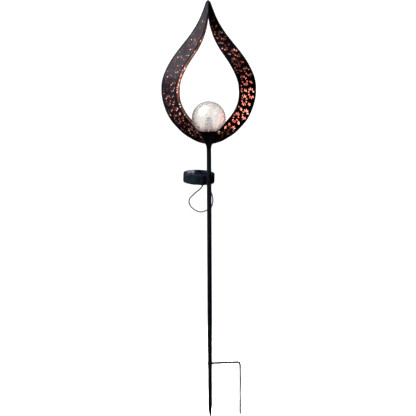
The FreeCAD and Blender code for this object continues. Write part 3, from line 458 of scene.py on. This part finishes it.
# The flame outline as shares of its half width and its height, from neck to tip.
OUTLINE = [
    (0.080, 0.006), (0.214, 0.0243), (0.354, 0.0456), (0.550, 0.0877),
    (0.675, 0.128), (0.790, 0.1715), (0.922, 0.2557), (0.984, 0.327),
    (1.000, 0.3825), (0.986, 0.446), (0.926, 0.5075), (0.790, 0.5915),
    (0.600, 0.675), (0.396, 0.758), (0.228, 0.8405), (0.164, 0.881),
    (0.108, 0.925), (0.060, 0.966), (0.032, 0.989),
]
# The opening as shares of its half width, and of its height from its bottom edge.
OPENING = [
    (0.130, 0.001), (0.263, 0.0058), (0.430, 0.0388), (0.595, 0.0883),
    (0.766, 0.1456), (0.881, 0.198), (0.961, 0.2504), (1.000, 0.3203),
    (0.993, 0.3737), (0.980, 0.4038), (0.927, 0.4542), (0.846, 0.5057),
    (0.746, 0.5552), (0.625, 0.6076), (0.492, 0.6581), (0.365, 0.7085),
    (0.260, 0.760), (0.174, 0.8104), (0.112, 0.8599), (0.061, 0.9114),
    (0.033, 0.957),
]
# How far the sheets stand from the middle plane, along the opening's edge.
DEPTH = [
    (0.0, 0.76), (0.12, 0.82), (0.25, 0.94), (0.38, 1.0), (0.58, 1.0),
    (0.70, 0.93), (0.80, 0.80), (0.90, 0.60), (1.0, 0.42),
]
STATIONS = 24


def cubic(knots, values, where):
    """A natural cubic spline through values at knots, at the places asked for."""
    knots = np.asarray(knots, float)
    values = np.asarray(values, float)
    n = len(knots)
    h = np.diff(knots)
    system = np.zeros((n, n))
    right = np.zeros((n, values.shape[1]))
    system[0, 0] = system[-1, -1] = 1.0
    for i in range(1, n - 1):
        system[i, i - 1 : i + 2] = h[i - 1], 2 * (h[i - 1] + h[i]), h[i]
        right[i] = 6 * ((values[i + 1] - values[i]) / h[i] - (values[i] - values[i - 1]) / h[i - 1])
    bend = np.linalg.solve(system, right)
    where = np.clip(np.asarray(where, float), knots[0], knots[-1])
    k = np.clip(np.searchsorted(knots, where, side="right") - 1, 0, n - 2)
    w = h[k][:, None]
    a = (knots[k + 1] - where)[:, None] / w
    b = 1 - a
    return (
        a * values[k] + b * values[k + 1]
        + ((a**3 - a) * bend[k] + (b**3 - b) * bend[k + 1]) * w**2 / 6
    )


def even_line(points, count=801):
    """A smooth line through points, and its length from the start, as a table."""
    points = np.asarray(points, float)
    chord = np.concatenate([[0], np.cumsum(np.linalg.norm(np.diff(points, axis=0), axis=1))])
    fine = cubic(chord, points, np.linspace(0, chord[-1], count))
    along = np.concatenate([[0], np.cumsum(np.linalg.norm(np.diff(fine, axis=0), axis=1))])
    return fine, along / along[-1]


def on_line(line, share):
    fine, along = line
    share = np.asarray(share, float)
    return np.stack([np.interp(share, along, fine[:, i]) for i in range(3)], axis=-1)


radius_at_neck = POLE_R + COLLAR_GAP
outer_points = [(radius_at_neck, 0, -COLLAR), (radius_at_neck * 1.06, 0, -COLLAR * 0.5)]
outer_points += [(x * HALF_WIDTH, 0, z * HEIGHT) for x, z in OUTLINE] + [(0, 0, HEIGHT)]
inner_points = [(0, 0, OPENING_BOTTOM)]
inner_points += [
    (x * OPENING_HALF, 0, OPENING_BOTTOM + z * (OPENING_TOP - OPENING_BOTTOM)) for x, z in OPENING
]
inner_points += [(0, 0, OPENING_TOP)]
OUTER = even_line(outer_points)
INNER = even_line(inner_points)
NECK_SHARE = 1.0 / (STATIONS + 1)


def inner_edge(share):
    """The opening's edge on the front sheet, in millimetres above the neck."""
    share = np.asarray(share, float)
    found = on_line(INNER, share)
    deep = np.interp(share, [p for p, _ in DEPTH], [d for _, d in DEPTH])
    found[..., 1] = -HALF_DEPTH * deep
    return found


def outer_edge(share):
    """The outer edge. Under zero it wraps the pole's front, above it follows the outline."""
    share = np.asarray(share, float)
    found = on_line(OUTER, np.clip(share, 0, 1))
    turn = np.clip(-share, 0, 1) * math.pi / 2
    wrapped = np.stack(
        [
            radius_at_neck * np.cos(turn),
            -radius_at_neck * np.sin(turn),
            np.full_like(share, -COLLAR),
        ],
        axis=-1,
    )
    return np.where((share < 0)[..., None], wrapped, found)


# one running number goes from the middle of the neck, at -1, to the tip, at 1
def edges_at(run):
    run = np.asarray(run, float)
    inner_share = np.where(run < 0, (run + 1) * NECK_SHARE, NECK_SHARE + run * (1 - NECK_SHARE))
    return outer_edge(run), inner_edge(inner_share)


runs = np.concatenate([np.linspace(-1, 0, 41)[:-1], np.linspace(0, 1, 801)])
outer_table, inner_table = edges_at(runs)
middle = (outer_table + inner_table) / 2
strip_s = np.concatenate([[0], np.cumsum(np.linalg.norm(np.diff(middle, axis=0), axis=1))])
strip_wide = np.linalg.norm(inner_table - outer_table, axis=1)
STRIP_LONG = strip_s[-1]
# COVER is how far the black face stands in front of the sheet's inside, along Y, on the slant
# that the sheet has half way up the limb. HALF_WAY is that place's row in the tables.
HALF_WAY = 440
reach_mid = np.linalg.norm((outer_table - inner_table)[HALF_WAY][[0, 2]])
COVER = SHEET * math.hypot(reach_mid, HALF_DEPTH) / reach_mid


def wide_at(s):
    return np.interp(s, strip_s, strip_wide)


def on_sheet(s, b):
    """Points of the front sheet's black face, from lengths along and across it."""
    s = np.asarray(s, float)
    b = np.asarray(b, float)
    out = np.stack([np.interp(s, strip_s, outer_table[:, i]) for i in range(3)], axis=-1)
    inn = np.stack([np.interp(s, strip_s, inner_table[:, i]) for i in range(3)], axis=-1)
    share = (b / wide_at(s))[..., None]
    found = out + (inn - out) * share
    found[..., 1] -= COVER
    return found


def stretch_at(s, b):
    """How much longer a step along the strip is there than at its middle."""
    one = on_sheet(s - 0.5, b)
    two = on_sheet(s + 0.5, b)
    return float(np.linalg.norm(two - one))


# the pattern of holes, in millimetres
PETAL_LONG = 7.0
PETAL_WIDE = 2.5
PETAL_CORNERS = 14
PETAL_TAPER = 0.32
PETALS = 10
FLOWER_RADIUS = 9.6
PAIR_LONG = 6.4
PAIR_SPREAD = 2.6
PITCH = 47.5
COLUMN = 23.0
LOWEST_FLOWER = 18
HIGHEST_FLOWER = 4
FLOWER_OVERHANG = 14
OUTER_MARGIN = 3.4
INNER_MARGIN = 3.6
NECK_MARGIN = 14
TIP_MARGIN = 26
GRID = 3.6


def petal(length, wide):
    """A petal's outline round its own middle: broad outside, narrower inside."""
    points = []
    for k in range(PETAL_CORNERS):
        a = 2 * math.pi * k / PETAL_CORNERS
        along = math.cos(a) * length / 2
        taper = 1.0 + PETAL_TAPER * math.cos(a)
        points.append((along, math.sin(a) * wide / 2 * taper))
    return np.array(points)


def flower():
    """A ring of petals."""
    shapes = []
    one = petal(PETAL_LONG, PETAL_WIDE)
    for k in range(PETALS):
        a = 2 * math.pi * (k + 0.5) / PETALS
        turn = np.array([[math.cos(a), math.sin(a)], [-math.sin(a), math.cos(a)]])
        shapes.append((one + (FLOWER_RADIUS, 0)) @ turn)
    return shapes


def pair():
    """Two petals side by side, between the flowers."""
    one = petal(PAIR_LONG, PETAL_WIDE)
    return [one + (0, PAIR_SPREAD), one + (0, -PAIR_SPREAD)]


FLOWER = flower()
PAIR = pair()


def holes(phase, first_column):
    """The outlines of all holes of one half sheet, as (along, across) in millimetres."""
    found = []
    for column in range(-1, 4):
        b0 = first_column + COLUMN * column
        for step in range(-2, 40):
            s0 = phase + step * PITCH / 2
            if not LOWEST_FLOWER < s0 < STRIP_LONG - HIGHEST_FLOWER:
                continue
            if b0 < -FLOWER_OVERHANG or b0 > wide_at(s0) + FLOWER_OVERHANG:
                continue
            shapes = FLOWER if (step + column) % 2 == 0 else PAIR
            stretch = stretch_at(s0, np.clip(b0, 0, wide_at(s0)))
            for shape in shapes:
                s = s0 + shape[:, 0] / stretch
                b = b0 + shape[:, 1]
                if b.min() < OUTER_MARGIN or (b > wide_at(s) - INNER_MARGIN).any():
                    continue
                if s.min() < NECK_MARGIN or s.max() > STRIP_LONG - TIP_MARGIN:
                    continue
                found.append(np.stack([s, b], axis=1))
    return found


def inside(points, ring):
    """Which points lie inside a ring."""
    x, y = points[:, 0], points[:, 1]
    odd = np.zeros(len(points), bool)
    for (x1, y1), (x2, y2) in zip(ring, np.roll(ring, -1, axis=0)):
        if y1 == y2:
            continue
        crosses = (y1 > y) != (y2 > y)
        odd ^= crosses & (x < (x2 - x1) * (y - y1) / (y2 - y1) + x1)
    return odd


def half_sheet(phase, first_column):
    """Points and triangles of the right half of the front sheet, with its holes."""
    rings = holes(phase, first_column)
    steps = np.linspace(0, STRIP_LONG, 190)
    bottom = [(s, 0.0) for s in steps]
    top = [(s, float(wide_at(s))) for s in steps[::-1]]
    left = [(0.0, float(b)) for b in np.linspace(0, wide_at(0), 16)[1:-1]][::-1]
    right = [(STRIP_LONG, float(b)) for b in np.linspace(0, wide_at(STRIP_LONG), 9)[1:-1]]
    border = bottom + right + top + left
    points = list(border)
    edges = [(i, (i + 1) % len(border)) for i in range(len(border))]
    for ring in rings:
        first = len(points)
        points += [tuple(p) for p in ring]
        edges += [(first + i, first + (i + 1) % len(ring)) for i in range(len(ring))]
    grid_s, grid_b = np.meshgrid(np.arange(2.2, STRIP_LONG, GRID), np.arange(3.2, 70, GRID))
    grid = np.stack([grid_s.ravel(), grid_b.ravel()], axis=1)
    grid = grid[grid[:, 1] < wide_at(grid[:, 0]) - 1.6]
    keep = np.ones(len(grid), bool)
    for ring in rings:
        middle_of = ring.mean(axis=0)
        size_of = np.linalg.norm(ring - middle_of, axis=1).max() + 0.8
        keep &= np.linalg.norm(grid - middle_of, axis=1) > size_of
    points += [tuple(p) for p in grid[keep]]
    found = delaunay_2d_cdt([Vector(p) for p in points], edges, [], 0, 1e-5)
    flat = np.array([tuple(p) for p in found[0]])
    triangles = np.array([f for f in found[2] if len(f) == 3])
    centre = flat[triangles].mean(axis=1)
    good = (centre[:, 1] > 0) & (centre[:, 1] < wide_at(centre[:, 0])) & (centre[:, 0] > 0)
    for ring in rings:
        near = np.linalg.norm(centre - ring.mean(axis=0), axis=1) < 6
        index = np.flatnonzero(near & good)
        if len(index):
            good[index[inside(centre[index], ring)]] = False
    return flat, triangles[good]


def sheet_mesh(name, sides, back):
    """One whole pierced sheet: black outside, copper red inside, with its real thickness."""
    bm = bmesh.new()
    for side, (phase, first_column) in sides.items():
        flat, triangles = half_sheet(phase, first_column)
        places = on_sheet(flat[:, 0], flat[:, 1])
        places[:, 0] *= side
        if back:
            places[:, 1] *= -1
        places = places * MM + np.array([0, 0, NECK])
        made = [bm.verts.new(p) for p in places]
        flip = (side > 0) != back
        for a, b, c in triangles:
            ring = (made[a], made[b], made[c]) if flip else (made[a], made[c], made[b])
            face = bm.faces.new(ring)
            face.smooth = True
    bmesh.ops.remove_doubles(bm, verts=bm.verts, dist=2e-5)
    data = bpy.data.meshes.new(name)
    bm.to_mesh(data)
    bm.free()
    raw = bpy.data.objects.new(name + "_raw", data)
    scene.collection.objects.link(raw)
    data.materials.append(BLACK)
    data.materials.append(COPPER)
    thick = raw.modifiers.new("thickness", "SOLIDIFY")
    thick.thickness = SHEET * MM
    thick.offset = -1.0
    thick.material_offset = 1
    thick.material_offset_rim = 1
    view = bpy.context.evaluated_depsgraph_get()
    solid = bpy.data.meshes.new_from_object(raw.evaluated_get(view))
    bpy.data.objects.remove(raw)
    solid.name = name
    solid.set_sharp_from_angle(angle=math.radians(50))
    thing = bpy.data.objects.new(name, solid)
    scene.collection.objects.link(thing)
    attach(thing, "upper_section")
    return thing


# for each side, where the flowers start along the sheet and where their first column is
front = sheet_mesh("pierced_front_sheet", {1: (13.0, 15.0), -1: (44.5, 22.5)}, False)
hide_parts("front_panel")
back = sheet_mesh("pierced_back_sheet", {1: (24.0, 18.0), -1: (10.0, 14.0)}, True)
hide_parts("back_panel")


def mirrored_loop(right):
    """A path up the right side, then down the left side."""
    left = right[::-1].copy()
    left[:, 0] *= -1
    return np.concatenate([right, left[1:-1]])


def up_from_neck(points):
    return np.asarray(points) * MM + np.array([0, 0, NECK])


# outer rim: a rounded strip over the seam of the two sheets
rim_right = on_line(OUTER, np.linspace(0.03, 1, 220))
rim_all = np.concatenate([rim_right, (rim_right[::-1] * (-1, 1, 1))[1:]])
rim_along = np.gradient(rim_all, axis=0)
rim_out = np.stack([rim_along[:, 2], 0 * rim_along[:, 0], -rim_along[:, 0]], axis=1)
rim_out /= np.linalg.norm(rim_out, axis=1)[:, None]
RIM_STAND_OUT = 0.55
RIM_RADIUS = 1.75
RIM_FLATNESS = 0.72
rim_path = up_from_neck(rim_all + rim_out * RIM_STAND_OUT)
rim_points, rim_faces = tube(rim_path, RIM_RADIUS * MM, 12, False, (1.0, RIM_FLATNESS),
                             np.array([0, 1.0, 0]))
outer_rim = mesh_piece("seam_rim", rim_points, rim_faces, "upper_section", RIM_BLACK)
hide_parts("outer_rim")

# inner rims: the rolled edges of the opening
ROLL_RADIUS = 1.25
ROLLED_EDGES = (
    (1, "front_rolled_edge", "front_inner_rim"),
    (-1, "back_rolled_edge", "back_inner_rim"),
)
edge_right = inner_edge(np.linspace(0, 1, 200))
edge_right[:, 1] -= COVER * 0.6
for side, name, node in ROLLED_EDGES:
    path = edge_right.copy()
    path[:, 1] *= side
    loop = up_from_neck(mirrored_loop(path))
    edge_points, edge_faces = tube(loop, ROLL_RADIUS * MM, 10, True)
    edge = mesh_piece(name, edge_points, edge_faces, "upper_section", RIM_BLACK)
    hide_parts(node)

# a lumpy weld where the sheets close round the pole
# its bead is about 1.5 mm thick, with uneven ripples
WELD_STEPS = 64
WELD_DROP = 6.2
WELD_DEEP = 6.1
weld_path = []
weld_radius = []
for k in range(WELD_STEPS):
    a = 2 * math.pi * k / WELD_STEPS
    weld_path.append((math.cos(a) * POLE_R * MM, math.sin(a) * WELD_DEEP * MM, NECK - WELD_DROP * MM))
    weld_radius.append((0.75 + 0.16 * math.sin(a * 9) + 0.08 * math.sin(a * 23 + 1)) * MM)
weld_points, weld_faces = tube(weld_path, weld_radius, 8, True)
mesh_piece("neck_weld", weld_points, weld_faces, "upper_section", BLACK)

# ------------------------------------------------------------------- globe
GLOBE_R = 40.0
GLOBE_WALL = 2.0
MOUTH_R = 17.0
SEAT = 26.2
GLOBE_STEPS = 72
GLOBE_SIDES = 128
LIP = 0.02
globe_centre = SEAT + math.sqrt(GLOBE_R**2 - MOUTH_R**2)
start_angle = math.asin(MOUTH_R / GLOBE_R)


def globe_profile(radius, lip):
    """A half circle in metres, from the top of the ball down to near its mouth."""
    found = [(0.0, (globe_centre + radius) * MM)]
    for k in range(1, GLOBE_STEPS + 1):
        a = (math.pi - start_angle - lip) * k / GLOBE_STEPS
        found.append((radius * math.sin(a) * MM, (globe_centre + radius * math.cos(a)) * MM))
    return found


outer_profile = globe_profile(GLOBE_R, 0.0)[::-1]
outer_pts, outer_fcs = lathe(outer_profile, GLOBE_SIDES, (0, 0, NECK))
inner_pts, inner_fcs = lathe(globe_profile(GLOBE_R - GLOBE_WALL, LIP), GLOBE_SIDES, (0, 0, NECK))
offset = len(outer_pts)
points_all = outer_pts + inner_pts
faces_all = outer_fcs + [tuple(i + offset for i in f) for f in inner_fcs]
last_ring = len(points_all) - GLOBE_SIDES
for k in range(GLOBE_SIDES):
    m = (k + 1) % GLOBE_SIDES
    faces_all.append((m, k, last_ring + k, last_ring + m))
# blown glass is never quite round
globe_points = np.array(points_all)
spin = np.arctan2(globe_points[:, 1], globe_points[:, 0])
rise = (globe_points[:, 2] - NECK) / MM
wobble = 1 + 0.0035 * np.sin(spin * 3 + rise * 0.05) + 0.0025 * np.sin(spin * 5 - rise * 0.11 + 1)
globe_points[:, 0] *= wobble
globe_points[:, 1] *= wobble
globe = mesh_piece("crackle_globe", globe_points, faces_all, "upper_section", GLASS, 60)
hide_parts("glass_globe")

# ------------------------------------------------------- stage and lights
world = bpy.data.worlds.new("world")
scene.world = world
world.use_nodes = True
background = world.node_tree.nodes["Background"]
background.inputs["Color"].default_value = (1, 1, 1, 1)
background.inputs["Strength"].default_value = 1.0
world.cycles_visibility.glossy = False

floor_data = bpy.data.meshes.new("floor")
floor_z = -0.1325
BEND_START = 1.6
BEND_RADIUS = 0.9
BEND_STEPS = 12
rows = [(-3.2, floor_z), (BEND_START, floor_z)]
for k in range(1, BEND_STEPS + 1):
    a = math.pi / 2 * k / BEND_STEPS
    rows.append((BEND_START + BEND_RADIUS * math.sin(a), floor_z + BEND_RADIUS * (1 - math.cos(a))))
rows.append((BEND_START + BEND_RADIUS, 4.5))
floor_points = [(x, y, z) for y, z in rows for x in (-4.5, 4.5)]
floor_faces = [(2 * i, 2 * i + 1, 2 * i + 3, 2 * i + 2) for i in range(len(rows) - 1)]
floor_data.from_pydata(floor_points, [], floor_faces)
for face in floor_data.polygons:
    face.use_smooth = True
floor = bpy.data.objects.new("floor", floor_data)
scene.collection.objects.link(floor)
paper, _, paper_shader = new_material("white_paper")
paper_shader.inputs["Base Color"].default_value = (0.93, 0.93, 0.93, 1)
paper_shader.inputs["Roughness"].default_value = 0.95
paper_shader.inputs["Emission Color"].default_value = (1, 1, 1, 1)
paper_shader.inputs["Emission Strength"].default_value = 0.12
floor_data.materials.append(paper)
floor.visible_glossy = False


def area_light(name, place, target, wide, tall, power, colour=(1, 1, 1)):
    data = bpy.data.lights.new(name, "AREA")
    data.shape = "RECTANGLE"
    data.size = wide
    data.size_y = tall
    data.energy = power
    data.color = colour
    light = bpy.data.objects.new(name, data)
    scene.collection.objects.link(light)
    light.location = place
    way = Vector(target) - Vector(place)
    light.rotation_mode = "QUATERNION"
    light.rotation_quaternion = way.to_track_quat("-Z", "Y")
    light.visible_camera = False
    return light


area_light("left_softbox", (-1.75, 0.40, 1.75), (0, 0, 0.72), 1.1, 1.1, 9.0, (1.0, 0.95, 0.98))
key = area_light("head_key", (-1.32, -0.66, 2.33), (0, 0, 0.68), 0.5, 0.5, 75, (1.0, 0.97, 0.93))
key.data.spread = math.radians(26)
key.visible_glossy = False
area_light("drum_top_strip", (-0.225, 2.3, 1.112), (-0.05, 0.05, 0.466), 0.18, 0.014, 0.013)
area_light("front_low_strip", (0.36, -0.95, 0.27), (0, 0, 0.3), 0.4, 0.8, 0.25, (0.66, 0.72, 1.0))

scene.view_settings.view_transform = "Standard"
scene.view_settings.look = "None"
